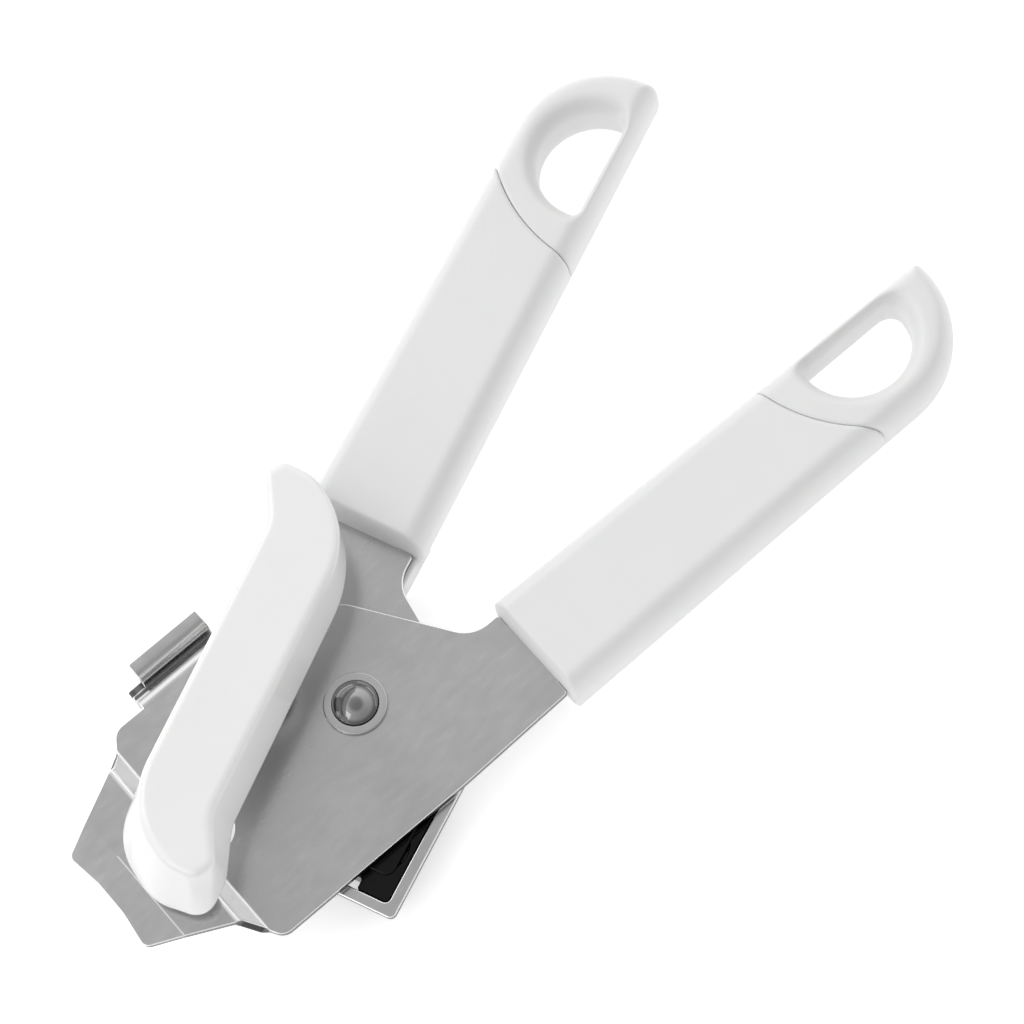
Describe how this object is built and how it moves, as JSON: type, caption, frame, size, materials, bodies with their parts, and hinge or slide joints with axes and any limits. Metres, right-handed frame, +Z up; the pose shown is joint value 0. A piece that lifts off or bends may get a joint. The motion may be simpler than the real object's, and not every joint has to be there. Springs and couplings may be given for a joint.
{
  "type": "can opener",
  "caption": "Hand can opener: hinged arms with white grips and hanging eyes, wing key, feed wheel, cutting wheel, cap-lifter tip and lid magnet.",
  "frame": {"origin": "on the pivot rivet's axis, in the plane that the opener lies on", "axes": "+X from the pivot towards the front handle's hanging eye, +Z up out of the arms towards the turning key, +Y towards the rear handle's side"},
  "size_m": [0.2128, 0.1163, 0.0304],
  "materials": {
    "plated_steel": "satin",
    "bright_steel": "polished",
    "wheel_steel": "satin",
    "grip_white": "satin",
    "key_white": "gloss",
    "black_plastic": "gloss",
    "magnet_dark": "satin"
  },
  "bodies": {
    "front_arm": {"front_arm_plate": "plated_steel", "front_grip": "grip_white", "front_eye_cap": "grip_white", "front_grip_pin": "bright_steel", "pivot_rivet": "bright_steel", "pivot_front_washer": "bright_steel", "pivot_spacer": "wheel_steel", "pivot_rear_washer": "bright_steel", "drive_bush": "bright_steel"},
    "rear_arm": {"rear_arm_plate": "plated_steel", "rear_grip": "grip_white", "rear_eye_cap": "grip_white", "rear_grip_pin": "bright_steel", "cutter_axle": "bright_steel", "cutter_spacer": "wheel_steel", "magnet_housing": "black_plastic", "lid_magnet": "magnet_dark"},
    "key_drive": {"turn_key": "key_white", "key_insert": "wheel_steel", "drive_shaft": "bright_steel", "key_washer": "wheel_steel", "feed_wheel": "wheel_steel", "feed_wheel_nut": "bright_steel"},
    "cutter": {"cutting_wheel": "wheel_steel"}
  },
  "joints": [
    {"name": "handle_pivot", "type": "hinge", "parent": "front_arm", "child": "rear_arm", "pos_m": [0, 0, 0.008], "axis": [0, 0, 1], "range_deg": [-25, 15]},
    {"name": "key_turn", "type": "hinge", "parent": "front_arm", "child": "key_drive", "pos_m": [-0.0139, 0.0152, 0.01], "axis": [0, 0, 1], "continuous": true},
    {"name": "cutter_spin", "type": "hinge", "parent": "rear_arm", "child": "cutter", "pos_m": [-0.01746, -0.00993, 0.0015], "axis": [0, 0, 1], "continuous": true}
  ]
}
